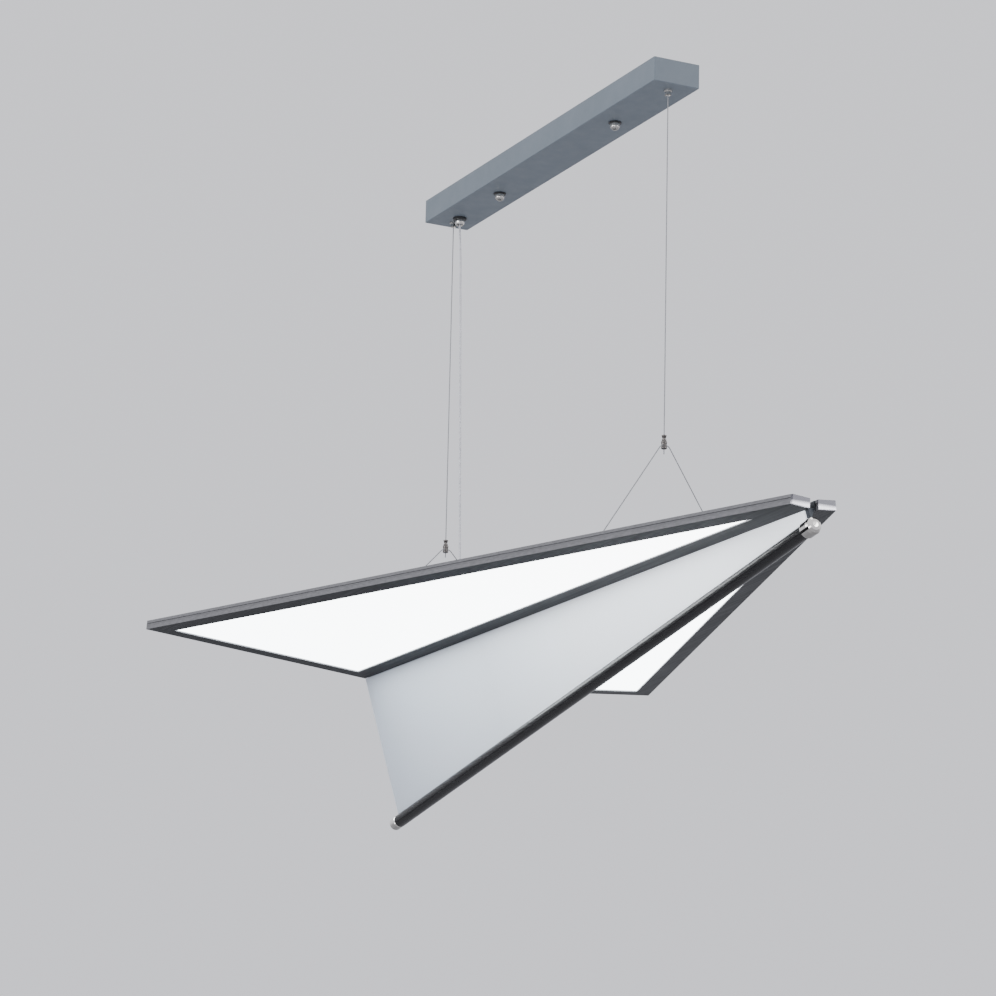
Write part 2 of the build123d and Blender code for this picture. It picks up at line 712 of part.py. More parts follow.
def make_junction_lid():
    centre_x = (BOX_LOW_X + BOX_HIGH_X) / 2
    with BuildPart() as lid:
        with BuildSketch(Plane(origin=(centre_x, 0, BOX_TOP - LID_SHEET))):
            RectangleRounded(*box_plan(0), 3.0)
        extrude(amount=LID_SHEET)
        add(pin(upright(CABLE_LANDING_X), 4.0, BOX_TOP - 5, BOX_TOP + 5), mode=Mode.SUBTRACT)
        for y in BOX_SCREW_Y:
            add(pin(upright(-WIRE_X, y), 1.5, BOX_TOP - 5, BOX_TOP + 5), mode=Mode.SUBTRACT)
    return lid.part


def make_lamp_gland():
    """Gland in the junction box lid; its bore opens out so that the cable can lean."""
    outline = [(0, BOX_TOP - 6), (4.0, BOX_TOP - 6), (4.0, BOX_TOP), (7.0, BOX_TOP),
               (7.0, BOX_TOP + 3.5), (5.6, BOX_TOP + 4.2), (5.6, BOX_TOP + 8.0),
               (4.4, BOX_TOP + 10.5), (0, BOX_TOP + 10.5)]
    bore = [(0, BOX_TOP - 7), (2.9, BOX_TOP - 7), (LAMP_GLAND_WAIST, BOX_TOP + 1.0),
            (LAMP_GLAND_MOUTH, BOX_TOP + 11), (0, BOX_TOP + 11)]
    with BuildPart() as gland:
        add(turned(upright(CABLE_LANDING_X), outline))
        add(turned(upright(CABLE_LANDING_X), bore), mode=Mode.SUBTRACT)
    return gland.part


# ---------------------------------------------------------------- keel
def tube_frame(x):
    """Frame on the keel tube's axis: z runs to the nose, y points up."""
    return Plane(origin=(x, 0, WING_Z - keel_depth(x)), x_dir=(0, 1, 0), z_dir=(1, 0, TUBE_ANGLE))


def make_keel_panel(side):
    """Flat keel sheet from a wing root down into the tube's slot, mitred on the centre plane."""
    root_gap = 0.4
    tail_x = TAIL_X + 0.5
    corners = [keel_point(side, tail_x, KEEL_EDGE), keel_point(side, KEEL_END_X, KEEL_EDGE),
               keel_point(side, KEEL_END_X, keel_depth(KEEL_END_X) - root_gap),
               keel_point(side, tail_x, keel_depth(tail_x) - root_gap)]
    with BuildPart() as panel:
        add(plate(corners, Vector(0, -side, 0), KEEL_SHEET))
        keep = Keep.TOP if side > 0 else Keep.BOTTOM
        split(bisect_by=Plane(origin=(0, side * 0.05, 0), x_dir=(1, 0, 0), z_dir=(0, 1, 0)), keep=keep)
    return panel.part


def make_tube():
    """Slotted keel tube with two lengthwise grooves."""
    length = (TUBE_NOSE_X - TUBE_TAIL_X) / TUBE_COS
    with BuildPart() as tube:
        with BuildSketch(tube_frame(TUBE_TAIL_X)):
            Circle(TUBE_RADIUS)
            Circle(TUBE_BORE, mode=Mode.SUBTRACT)
            with Locations((0, TUBE_RADIUS)):
                Rectangle(5.2, 6.0, mode=Mode.SUBTRACT)
            for angle in GROOVE_ANGLES:
                with Locations((TUBE_RADIUS * cos(radians(angle)), TUBE_RADIUS * sin(radians(angle)))):
                    Circle(0.7, mode=Mode.SUBTRACT)
        extrude(amount=length)
    return tube.part


def make_tail_cap():
    """Bright turned plug as wide as the tube, slotted on top for the keel panels' corners."""
    rim = TUBE_RADIUS - 0.1
    outline = [(0, 10), (5.6, 10), (6.3, 9), (6.3, 0), (rim, 0), (rim, -1.0), (7.2, -1.5),
               (7.2, -2.1), (rim, -2.6), (rim, -13.6), (7.2, -15.2), (5.6, -16.0), (0, -16.0)]
    cap_frame = tube_frame(TUBE_TAIL_X)
    slot_depth = 6.0
    with BuildPart() as cap:
        add(turned(cap_frame, outline))
        with BuildSketch(cap_frame.offset(-slot_depth)):
            with Locations((0, TUBE_RADIUS)):
                Rectangle(5.2, 8.4)
        extrude(amount=slot_depth + 11.0, mode=Mode.SUBTRACT)
    return cap.part


def make_nose_clip():
    """Bright C-shaped clip over the tube's nose end, open along the top and slotted at the sides."""
    outline = [(TUBE_RADIUS + 0.05, -11), (9.4, -11), (9.8, -10), (9.8, 1.5), (8.6, 4.6),
               (6.2, 6.6), (3.2, 7.6), (0, 7.8), (0, 5.8), (3.0, 5.6), (5.6, 4.6), (7.2, 2.8),
               (TUBE_RADIUS + 0.05, 1.2)]
    clip_frame = tube_frame(TUBE_NOSE_X)
    with BuildPart() as clip:
        add(turned(clip_frame, outline))
        with BuildSketch(clip_frame.offset(-12)):
            with Locations((0, 9.0)):
                Rectangle(7.0, 12.0)
        extrude(amount=13.5, mode=Mode.SUBTRACT)
        with BuildSketch(clip_frame.offset(-12)):
            for angle in GROOVE_ANGLES:
                with Locations((9.0 * cos(radians(angle)), 9.0 * sin(radians(angle)))):
                    Rectangle(4.0, 3.0, rotation=angle)
        extrude(amount=16.5, mode=Mode.SUBTRACT)
    return clip.part


def bracket_outline(x):
    """Y section of the nose bracket: a slotted channel between the roots on a stem between the panels."""
    gap = root_y(x) - 0.05
    lean = sin(DIHEDRAL)
    foot = 9.7 - keel_depth(x)
    sheet = KEEL_SHEET * hypot(1.0, V_SLOPE) + 0.15
    right = [(0.6, foot), ((keel_depth(x) - 1.0) * V_SLOPE - sheet, -1.0), (gap - sheet, 0.5), (gap, 0.5),
             (gap - 10.6 * lean, 10.6), (gap - 10.6 * lean - 1.4, 10.6), (gap - 2.0 * lean - 1.4, 2.0)]
    left = [(-y, z) for y, z in reversed(right)]
    return [(y, WING_Z + z) for y, z in right + left]


def make_nose_bracket():
    with BuildPart() as bracket:
        for x in (560.0, 604.0):
            with BuildSketch(Plane.YZ.offset(x)):
                with BuildLine():
                    Polyline(*bracket_outline(x), close=True)
                make_face()
        loft(ruled=True)
    return bracket.part


def make_root_angles():
    """Bent angles that join each keel panel to its wing's root rail."""
    low, high = TAIL_X + 6.0, 470.0
    with BuildPart() as angles:
        for side in SIDES.values():
            inward = Vector(0, -side, 0)
            rail_face = [wing_point(side, x, root_y(x), h)
                         for x, h in ((low, 0.4), (high, 0.4), (high, 9), (low, 9))]
            add(plate(rail_face, inward, 2.2))
            sheet = wing_panel_inward(side) * KEEL_SHEET
            panel_face = [keel_point(side, x, keel_depth(x) + h) + sheet
                          for x, h in ((low, 1.6), (high, 1.6), (high, -13), (low, -13))]
            add(plate(panel_face, inward, 1.5))
    return angles.part


def wing_panel_inward(side):
    """Unit vector from a keel panel's outer face to its inner face."""
    along = Vector(TAIL_X - APEX_X, side * ROOT_TAIL_Y, 0)
    keel = Vector(TAIL_X - APEX_X, 0, -KEEL_DEPTH)
    normal = along.cross(keel).normalized()
    return normal if normal.Y * side < 0 else normal * -1


# ---------------------------------------------------------------- write every piece
os.makedirs("parts", exist_ok=True)

save(make_bracket(), "ceiling_bracket")
save(make_studs(), "bracket_studs")
save(make_stud_nuts(), "stud_nuts")
save(make_shell(), "canopy_shell")
save(make_nut_seats(), "cap_nut_seats")
save(make_ferrule_nuts(), "ferrule_lock_nuts")
save(make_gland(), "cable_gland")
save(make_gland_collar(), "gland_collar")
save(make_gland_nut(), "gland_lock_nut")
save(make_driver(), "led_driver")
save(make_terminal_block(), "terminal_block")

for end, direction in ENDS.items():
    save(make_cap_nut(direction * STUD_X), f"{end}_cap_nut")
    save(make_ferrule(direction * WIRE_X), f"{end}_ceiling_ferrule")
    save(make_ball(direction * WIRE_X), f"{end}_swivel_ball")
    save(make_wire(direction * WIRE_X), f"{end}_wire")
    save(make_bead(direction * WIRE_X), f"{end}_wire_bead")
    save(make_gripper(direction * WIRE_X), f"{end}_gripper")
    save(make_sleeve(direction * WIRE_X), f"{end}_release_sleeve")
    save(make_bridle(end), f"{end}_bridle")
    save(make_strap(end), f"{end}_strap")

save(make_cable(), "power_cable")
save(make_posts(), "bridle_posts")

for name, side in SIDES.items():
    save(make_rail(side, OUTER, True), f"{name}_outer_rail")
    save(make_rail(side, ROOT, True), f"{name}_root_rail")
    save(make_rail(side, TAIL, False), f"{name}_tail_rail")
    save(wing_plate(side, inset_outline(PANEL_MARGIN, NOSE_PLATE + 0.4, PANEL_MARGIN, PANEL_MARGIN),
                    LIP, DIFFUSER_TOP), f"{name}_diffuser")
    save(wing_plate(side, inset_outline(PANEL_MARGIN, NOSE_MARGIN, LED_MARGIN, PANEL_MARGIN),
                    DIFFUSER_TOP, GUIDE_TOP), f"{name}_light_guide")
    save(make_back_plate(side), f"{name}_back_plate")
    save(make_keel_panel(side), f"{name}_keel_panel")

save(make_led_strips(), "led_strips")
save(make_reflector_sheets(), "reflector_sheets")
save(make_nose_plates(), "nose_plates")
save(make_ribs(), "wing_ribs")
save(make_plate_screws(), "back_plate_screws")
save(make_strap_screws(), "strap_screws")
save(make_junction_box(), "junction_box")
save(make_junction_lid(), "junction_box_lid")
save(make_lamp_gland(), "lamp_gland")
save(make_tube(), "keel_tube")
save(make_tail_cap(), "keel_tail_cap")
save(make_nose_clip(), "keel_nose_clip")
save(make_nose_bracket(), "nose_bracket")
save(make_root_angles(), "root_angles")
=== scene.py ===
import json
from math import atan2, cos, floor, pi, radians, sin

import bpy
from mathutils import Matrix, Vector


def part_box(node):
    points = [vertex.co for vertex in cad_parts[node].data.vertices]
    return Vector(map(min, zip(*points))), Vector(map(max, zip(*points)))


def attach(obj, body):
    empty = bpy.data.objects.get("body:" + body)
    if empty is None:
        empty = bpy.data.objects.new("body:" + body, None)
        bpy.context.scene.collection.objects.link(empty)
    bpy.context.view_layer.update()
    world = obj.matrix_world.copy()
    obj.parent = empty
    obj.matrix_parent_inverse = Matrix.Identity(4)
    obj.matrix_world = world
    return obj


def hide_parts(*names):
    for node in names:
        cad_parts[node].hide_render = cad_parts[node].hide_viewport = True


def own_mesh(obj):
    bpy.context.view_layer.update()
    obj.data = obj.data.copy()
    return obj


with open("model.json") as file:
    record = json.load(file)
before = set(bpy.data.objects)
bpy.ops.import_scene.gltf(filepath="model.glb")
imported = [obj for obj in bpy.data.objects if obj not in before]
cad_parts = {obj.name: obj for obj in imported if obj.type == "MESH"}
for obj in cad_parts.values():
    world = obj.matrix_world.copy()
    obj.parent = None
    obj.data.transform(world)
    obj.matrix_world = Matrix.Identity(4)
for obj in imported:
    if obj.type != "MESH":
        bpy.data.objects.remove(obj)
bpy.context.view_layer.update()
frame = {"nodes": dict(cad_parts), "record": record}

# A pendant lamp folded like a paper plane. Metres, +X to the nose, +Y to port, +Z up.
MM = 0.001
WIRE_X = 0.279
WIRE_DIAMETER = 0.0012
WIRE_TOP = -0.022
WIRE_END = -0.468
APEX_Z = -0.458
APEX_OFFSET = 0.0019
APEX_HALF = 0.0046
CABLE_DIAMETER = 0.0026
CABLE_X = -0.261
CABLE_LANDING_X = -0.233
NUT_X = 0.150
WING_TAIL_X = -0.39
KEEL_TAIL_X = -0.40
# where the painted glow on the keel starts
PAINTED_GLOW_START_X = -0.10
NOSE_X = 0.60
KNURL = (-0.034, -0.0319)
WINDOWS = (-0.4596, -0.4556)
BRIDLE_FEET = {"front": 0.086, "rear": 0.120}
ENDS = {"front": 1, "rear": -1}
FLOOR_Z = -4.2


# ---------------------------------------------------------------- materials
def start_finish(name, colour, roughness, metallic=0.0):
    """New material and its shader, with the values that are the same all over."""
    material = bpy.data.materials.new(name)
    material.use_nodes = True
    shader = material.node_tree.nodes["Principled BSDF"]
    shader.inputs["Base Color"].default_value = (*colour, 1.0)
    shader.inputs["Roughness"].default_value = roughness
    shader.inputs["Metallic"].default_value = metallic
    return material, shader


def grain(material, scale, stretch=(1.0, 1.0, 1.0), detail=4.0):
    """Noise on the piece's own coordinates, stretched along its grain."""
    nodes, links = material.node_tree.nodes, material.node_tree.links
    place = nodes.new("ShaderNodeTexCoord")
    mapping = nodes.new("ShaderNodeMapping")
    mapping.inputs["Scale"].default_value = stretch
    noise = nodes.new("ShaderNodeTexNoise")
    noise.inputs["Scale"].default_value = scale
    noise.inputs["Detail"].default_value = detail
    links.new(place.outputs["Object"], mapping.inputs["Vector"])
    links.new(mapping.outputs["Vector"], noise.inputs["Vector"])
    return noise.outputs["Fac"]


def along(material, axis, low, high, coordinate="Object"):
    """0 to 1 from low to high along one axis of the piece's place, or of the way its faces look."""
    nodes, links = material.node_tree.nodes, material.node_tree.links
    place = nodes.new("ShaderNodeTexCoord")
    split = nodes.new("ShaderNodeSeparateXYZ")
    reach = nodes.new("ShaderNodeMapRange")
    reach.inputs["From Min"].default_value = low
    reach.inputs["From Max"].default_value = high
    links.new(place.outputs[coordinate], split.inputs["Vector"])
    links.new(split.outputs[axis], reach.inputs["Value"])
    return reach.outputs["Result"]


def tint(material, shader, factor, low, high, spread=(0.3, 0.7), socket="Base Color"):
    """Colour that runs from low to high with a factor."""
    ramp = material.node_tree.nodes.new("ShaderNodeValToRGB")
    ramp.color_ramp.elements[0].position = spread[0]
    ramp.color_ramp.elements[1].position = spread[1]
    ramp.color_ramp.elements[0].color = (*low, 1.0)
    ramp.color_ramp.elements[1].color = (*high, 1.0)
    material.node_tree.links.new(factor, ramp.inputs["Fac"])
    material.node_tree.links.new(ramp.outputs["Color"], shader.inputs[socket])


def vary_gloss(material, shader, factor, low, high):
    reach = material.node_tree.nodes.new("ShaderNodeMapRange")
    reach.inputs["From Min"].default_value = 0.3
    reach.inputs["From Max"].default_value = 0.7
    reach.inputs["To Min"].default_value = low
    reach.inputs["To Max"].default_value = high
    material.node_tree.links.new(factor, reach.inputs["Value"])
    material.node_tree.links.new(reach.outputs["Result"], shader.inputs["Roughness"])


def relief(material, shader, factor, strength, depth):
    bump = material.node_tree.nodes.new("ShaderNodeBump")
    bump.inputs["Strength"].default_value = strength
    bump.inputs["Distance"].default_value = depth
    material.node_tree.links.new(factor, bump.inputs["Height"])
    material.node_tree.links.new(bump.outputs["Normal"], shader.inputs["Normal"])


def shades(colour, spread):
    """The colour a little darker and a little lighter."""
    return [tuple(channel * (1 + way * spread) for channel in colour) for way in (-1, 1)]


def sprayed(name, colour, roughness, metallic=0.0):
    """Powder coat: fine orange peel over a faint mottle."""
    material, shader = start_finish(name, colour, roughness, metallic)
    mottle = grain(material, 14.0)
    tint(material, shader, mottle, *shades(colour, 0.05))
    vary_gloss(material, shader, grain(material, 60.0), roughness - 0.05, roughness + 0.06)
    relief(material, shader, grain(material, 1400.0, detail=2.0), 0.12, 0.0002)
    return material


def brushed(name, colour, roughness, metallic, stretch, spread=0.14):
    """Metal brushed along the axis that the stretch leaves long."""
    material, shader = start_finish(name, colour, roughness, metallic)
    lines = grain(material, 12.0, stretch)
    tint(material, shader, lines, *shades(colour, spread))
    vary_gloss(material, shader, lines, roughness - 0.07, roughness + 0.09)
    relief(material, shader, lines, 0.08, 0.0001)
    return material


def paint_underside_shade(material, shader, colour, start, full):
    """Painted shade: another, darker colour on the faces that look down."""
    nodes, links = material.node_tree.nodes, material.node_tree.links
    side_colour = shader.inputs["Base Color"].links[0].from_socket
    mix = nodes.new("ShaderNodeMix")
    mix.data_type = "RGBA"
    mix.inputs["B"].default_value = (*colour, 1.0)
    links.new(along(material, "Z", start, full, "Normal"), mix.inputs["Factor"])
    links.new(side_colour, mix.inputs["A"])
    links.new(mix.outputs["Result"], shader.inputs["Base Color"])


def frame_metal(name, stretch):
    """Gunmetal frame rail: lighter brushed sides and, as painted shade, a near-black underside; hardly
    any shine.
    """
    material = brushed(name, GUNMETAL, 0.36, 0.0, stretch)
    shader = material.node_tree.nodes["Principled BSDF"]
    shader.inputs["Specular IOR Level"].default_value = 0.03
    # painted shade: the faces that look down are darkened to near-black
    paint_underside_shade(material, shader, PAINTED_UNDERSIDE_SHADE, -0.5, -0.9)
    return material


def plated(name, colour, roughness):
    """Polished plating with faint smears, and painted shade that makes it duller on the faces that look
    down.
    """
    material, shader = start_finish(name, colour, roughness, 1.0)
    smears = grain(material, 90.0, (1.0, 1.0, 2.5))
    tint(material, shader, smears, *shades(colour, 0.04))
    # painted shade: downward faces get the plating colour at 0.35 of its brightness
    paint_underside_shade(material, shader, [channel * 0.35 for channel in colour], 0.1, -0.9)
    vary_gloss(material, shader, smears, roughness, roughness + 0.10)
    return material


def tube_finish():
    """Satin black tube."""
    material = brushed("tube_black", (0.012, 0.012, 0.013), 0.26, 0.0, LENGTHWISE, 0.25)
    material.node_tree.nodes["Principled BSDF"].inputs["Specular IOR Level"].default_value = 0.18
    return material


def nose_silver_painted_highlight():
    """Blunt plate with painted light: grey above, a painted bright highlight along its lower half."""
    low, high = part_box("nose_plates")
    material, shader = start_finish("nose_silver_painted_highlight", (0.50, 0.49, 0.54), 0.26, 1.0)
    height = along(material, "Z", low.z, high.z)
    # painted highlight: bright low on the plate, dark grey high up
    tint(material, shader, height, (0.78, 0.77, 0.82), (0.12, 0.12, 0.135), (0.24, 0.54))
    relief(material, shader, grain(material, 12.0, CROSSWISE), 0.08, 0.0001)
    return material


def moulded(name, colour, roughness):
    """Moulded plastic with a fine spark texture."""
    material, shader = start_finish(name, colour, roughness)
    tint(material, shader, grain(material, 40.0), *shades(colour, 0.07))
    relief(material, shader, grain(material, 2200.0, detail=2.0), 0.18, 0.0001)
    vary_gloss(material, shader, grain(material, 120.0), roughness - 0.06, roughness + 0.08)
    return material


def stranded(name, colour):
    """Twisted strands: slanting light and dark bands."""
    material, shader = start_finish(name, colour, 0.45, 0.6)
    nodes, links = material.node_tree.nodes, material.node_tree.links
    place = nodes.new("ShaderNodeTexCoord")
    mapping = nodes.new("ShaderNodeMapping")
    mapping.inputs["Rotation"].default_value = (radians(35), radians(35), 0)
    wave = nodes.new("ShaderNodeTexWave")
    wave.bands_direction = "Z"
    wave.inputs["Scale"].default_value = 520.0
    links.new(place.outputs["Object"], mapping.inputs["Vector"])
    links.new(mapping.outputs["Vector"], wave.inputs["Vector"])
    tint(material, shader, wave.outputs["Fac"], *shades(colour, 0.22), spread=(0.2, 0.8))
    relief(material, shader, wave.outputs["Fac"], 0.5, 0.00015)
    return material


def lit_opal():
    """Opal sheet, lit from behind, a touch brighter away from the tail."""
    material, shader = start_finish("opal_diffuser", (0.94, 0.97, 1.0), 0.42)
    nosewards = along(material, "X", WING_TAIL_X, NOSE_X)
    tint(material, shader, nosewards, (0.90, 0.97, 0.99), (0.97, 0.99, 1.0), (0.0, 1.0), "Emission Color")
    shader.inputs["Emission Strength"].default_value = 9.0
    relief(material, shader, grain(material, 900.0, detail=2.0), 0.05, 0.0001)
    return material


def satin_keel():
    """Pale blue-white sheet with painted light from the wings: painted darker towards the tail and
    lighter towards the nose, plus a painted glow where the wings close on it.
    """
    material, shader = start_finish("keel_white", (0.60, 0.65, 0.72), 0.38)
    painted_wing_light = along(material, "X", KEEL_TAIL_X, NOSE_X)
    painted_wing_glow = along(material, "X", PAINTED_GLOW_START_X, NOSE_X)
    # painted light: the sheet's colour is darker at the tail and lighter at the nose, as if lit by the
    # wings
    tint(material, shader, painted_wing_light, (0.46, 0.505, 0.57), (0.90, 0.93, 0.96), (0.0, 1.0))
    # painted glow: emission standing in for the wings' light falling on the keel
    tint(material, shader, painted_wing_glow, (0, 0, 0), (0.90, 0.95, 1.0), (0.0, 1.0), "Emission Color")
    shader.inputs["Emission Strength"].default_value = 1.1
    relief(material, shader, grain(material, 700.0, detail=2.0), 0.05, 0.0001)
    vary_gloss(material, shader, grain(material, 20.0), 0.33, 0.43)
    return material


def clear_sheath():
    """Clear sheath over pale tinned cores, which twist inside it."""
    material, shader = start_finish("clear_pvc", (0.72, 0.72, 0.76), 0.22)
    twist = grain(material, 60.0, (1.0, 1.0, 6.0))
    tint(material, shader, twist, (0.60, 0.60, 0.65), (0.84, 0.84, 0.87))
    shader.inputs["Coat Weight"].default_value = 0.7
    shader.inputs["Coat Roughness"].default_value = 0.08
    shader.inputs["Transmission Weight"].default_value = 0.15
    return material


def clear_acrylic():
    material, shader = start_finish("light_guide", (0.86, 0.93, 0.95), 0.10)
    shader.inputs["Transmission Weight"].default_value = 0.6
    shader.inputs["IOR"].default_value = 1.49
    tint(material, shader, grain(material, 300.0), (0.82, 0.90, 0.93), (0.90, 0.95, 0.97))
    return material


def diode_board():
    """White board with a row of small yellow diodes."""
    material, shader = start_finish("led_board", (0.90, 0.88, 0.80), 0.35)
    nodes, links = material.node_tree.nodes, material.node_tree.links
    place = nodes.new("ShaderNodeTexCoord")
    wave = nodes.new("ShaderNodeTexWave")
    wave.inputs["Scale"].default_value = 36.0
    links.new(place.outputs["Object"], wave.inputs["Vector"])
    tint(material, shader, wave.outputs["Fac"], (0.90, 0.89, 0.86), (0.90, 0.66, 0.12), (0.62, 0.70))
    return material


LENGTHWISE = (1.0, 45.0, 45.0)
CROSSWISE = (45.0, 1.0, 45.0)
GUNMETAL = (0.19, 0.19, 0.20)
# colour of the painted shade on the frame's downward faces
PAINTED_UNDERSIDE_SHADE = (0.028, 0.030, 0.033)

finishes = {
    "canopy_paint": sprayed("canopy_paint", (0.140, 0.172, 0.205), 0.44),
    "zinc_steel": brushed("zinc_steel", (0.55, 0.56, 0.58), 0.38, 1.0, (1, 1, 1), 0.2),
    "nickel": plated("nickel", (0.86, 0.84, 0.80), 0.08),
    "dark_nickel": plated("dark_nickel", (0.16, 0.15, 0.145), 0.22),
    "wire_steel": stranded("wire_steel", (0.30, 0.305, 0.32)),
    "black_nylon": moulded("black_nylon", (0.022, 0.023, 0.026), 0.45),
    "clear_pvc": clear_sheath(),
    "gunmetal": frame_metal("gunmetal", LENGTHWISE),
    "silver": brushed("silver", (0.50, 0.49, 0.54), 0.22, 1.0, CROSSWISE, 0.22),
    "plain_aluminium": brushed("plain_aluminium", (0.62, 0.63, 0.65), 0.36, 1.0, LENGTHWISE),
    "back_plate_grey": sprayed("back_plate_grey", (0.20, 0.205, 0.22), 0.48, 0.4),
    "opal_diffuser": lit_opal(),
    "light_guide": clear_acrylic(),
    "reflector_white": moulded("reflector_white", (0.90, 0.90, 0.90), 0.4),
    "led_board": diode_board(),
    "keel_white": satin_keel(),
    "tube_black": tube_finish(),
    "driver_white": moulded("driver_white", (0.80, 0.80, 0.79), 0.42),
}
own_finishes = {
    "port_tail_rail": frame_metal("tail_gunmetal", CROSSWISE),
    "nose_bracket": brushed("bracket_steel", (0.045, 0.052, 0.062), 0.38, 0.5, (1, 1, 1)),
    "nose_plates": nose_silver_painted_highlight(),
}
own_finishes["starboard_tail_rail"] = own_finishes["port_tail_rail"]

for part in frame["record"]["subparts"]:
    node = frame["nodes"][part["node"]]
    node.data.materials.clear()
    node.data.materials.append(own_finishes.get(part["node"], finishes[part["material_slot"]]))


# ---------------------------------------------------------------- softened edges on CAD pieces
def soften(name, width, angle=32.0):
    """Weld the loose faces and round the sharp edges a little."""
    node = frame["nodes"][name]
    weld = node.modifiers.new("weld", "WELD")
    weld.merge_threshold = 0.00001
    bevel = node.modifiers.new("edges", "BEVEL")
    bevel.width = width
    bevel.segments = 2
    bevel.limit_method = "ANGLE"
    bevel.angle_limit = radians(angle)
    bevel.use_clamp_overlap = True


for name in ("nose_plates", "junction_box_lid", "led_driver", "front_strap", "rear_strap"):
    soften(name, 0.0005)


# ---------------------------------------------------------------- modelling helpers
def clear_selection():
    if bpy.context.object and bpy.context.object.mode != "OBJECT":
        bpy.ops.object.mode_set(mode="OBJECT")
    bpy.ops.object.select_all(action="DESELECT")


def only(piece):
    clear_selection()
    bpy.context.view_layer.objects.active = piece
    piece.select_set(True)


def lathe(name, rings, sides=48):
    """Wall drawn through (radius, height) rings in millimetres, about the z axis.

    It closes on itself where the last ring is the first, and in a pole where the last radius is 0."""
    clear_selection()
    radius, height = rings[0]
    bpy.ops.mesh.primitive_circle_add(vertices=sides, radius=radius * MM, location=(0, 0, 0))
    piece = bpy.context.object
    piece.name = name
    bpy.ops.object.mode_set(mode="EDIT")
    bpy.ops.mesh.select_all(action="SELECT")
    bpy.ops.transform.translate(value=(0, 0, height * MM))
    for (radius, height), (next_radius, next_height) in zip(rings, rings[1:]):
        rise = (next_height - height) * MM
        bpy.ops.mesh.extrude_region_move(TRANSFORM_OT_translate={"value": (0, 0, rise)})
        if next_radius == 0:
            bpy.ops.mesh.merge(type="CENTER")
            break
        growth = next_radius / radius
        centre = (0, 0, next_height * MM)
        bpy.ops.transform.resize(value=(growth, growth, 1), center_override=centre)
    bpy.ops.mesh.select_all(action="SELECT")
    bpy.ops.mesh.remove_doubles(threshold=0.000002)
    bpy.ops.mesh.normals_make_consistent(inside=False)
    bpy.ops.object.mode_set(mode="OBJECT")
    return piece


def side_of(face, sides):
    """Which side of a lathed piece a face is on, counted about its axis."""
    return floor(atan2(face.center.y, face.center.x) * sides / (2 * pi))


def carve(piece, chosen, margin, depth):
    """Inset the chosen faces one by one and push them in."""
    only(piece)
    bpy.ops.object.mode_set(mode="EDIT")
    bpy.ops.mesh.select_mode(type="FACE")
    bpy.ops.mesh.select_all(action="DESELECT")
    bpy.ops.object.mode_set(mode="OBJECT")
    for face in piece.data.polygons:
        face.select = chosen(face)
    bpy.ops.object.mode_set(mode="EDIT")
    bpy.ops.mesh.inset(thickness=margin, depth=-depth, use_individual=True)
    bpy.ops.mesh.select_mode(type="VERT")
    bpy.ops.object.mode_set(mode="OBJECT")


def bore_across(piece, radius, height, offset):
    """Round hole along y through a piece."""
    clear_selection()
    middle = (offset, 0, height)
    across = (pi / 2, 0, 0)
    bpy.ops.mesh.primitive_cylinder_add(vertices=24, radius=radius, depth=0.03, location=middle,
                                        rotation=across)
    cutter = bpy.context.object
    only(piece)
    cut = piece.modifiers.new("hole", "BOOLEAN")
    cut.operation = "DIFFERENCE"
    cut.object = cutter
    bpy.ops.object.modifier_apply(modifier=cut.name)
    bpy.data.objects.remove(cutter)


def finished(piece, body, slot, *nodes, edge=0.0, place=None, smooth=35.0):
    """Round the edges, put the piece in place and hand it to its body."""
    only(piece)
    if edge:
        bevel = piece.modifiers.new("edges", "BEVEL")
        bevel.width = edge
        bevel.segments = 2
        bevel.limit_method = "ANGLE"
        bevel.angle_limit = radians(28)
        bpy.ops.object.modifier_apply(modifier=bevel.name)
    bpy.ops.object.shade_smooth_by_angle(angle=radians(smooth))
    if place is not None:
        piece.data.transform(place)
    piece.data.materials.clear()
    piece.data.materials.append(finishes[slot])
    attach(piece, body)
    if nodes:
        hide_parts(*nodes)
    return piece


def at(x, y=0.0, z=0.0):
    return Matrix.Translation((x, y, z))


# ---------------------------------------------------------------- canopy hardware
def cap_nut(end, x):
    """Domed nut with a knurled band."""
    rings = [(2.55, -31.3), (5.5, -31.3), (6.0, -31.9), (6.0, -34.0), (5.6, -34.4), (5.75, -35.0),
             (5.4, -36.4), (4.6, -37.8), (3.4, -38.9), (1.9, -39.6), (0.8, -39.8), (0, -39.85)]
    sides = 48
    nut = lathe(f"{end}_cap_nut_dome", rings, sides)
    carve(nut, lambda face: KNURL[0] < face.center.z < KNURL[1] and side_of(face, sides) % 2 == 0,
          0.00012, 0.00025)
    # the nut is blind, so its bore is closed at the end
    only(nut)
    bpy.ops.object.mode_set(mode="EDIT")
    bpy.ops.mesh.select_all(action="DESELECT")
    bpy.ops.mesh.select_non_manifold()
    bpy.ops.mesh.extrude_region_move(TRANSFORM_OT_translate={"value": (0, 0, -0.006)})
    bpy.ops.mesh.edge_face_add()
    bpy.ops.mesh.select_all(action="SELECT")
    bpy.ops.mesh.normals_make_consistent(inside=False)
    bpy.ops.object.mode_set(mode="OBJECT")
    finished(nut, f"{end}_cap_nut", "nickel", f"{end}_cap_nut", place=at(x))


def gland_ring():
    """Faceted clamping collar with a rounded mouth."""
    rings = [(4.1, -32.85), (6.0, -32.85), (6.0, -36.4), (5.3, -38.2), (4.9, -39.4), (4.1, -39.4),
             (4.1, -32.85)]
    collar = lathe("gland_collar_ring", rings, 12)
    finished(collar, "canopy", "nickel", "gland_collar", edge=0.00018, place=at(CABLE_X), smooth=24.0)


for end, direction in ENDS.items():
    cap_nut(end, direction * NUT_X)
gland_ring()


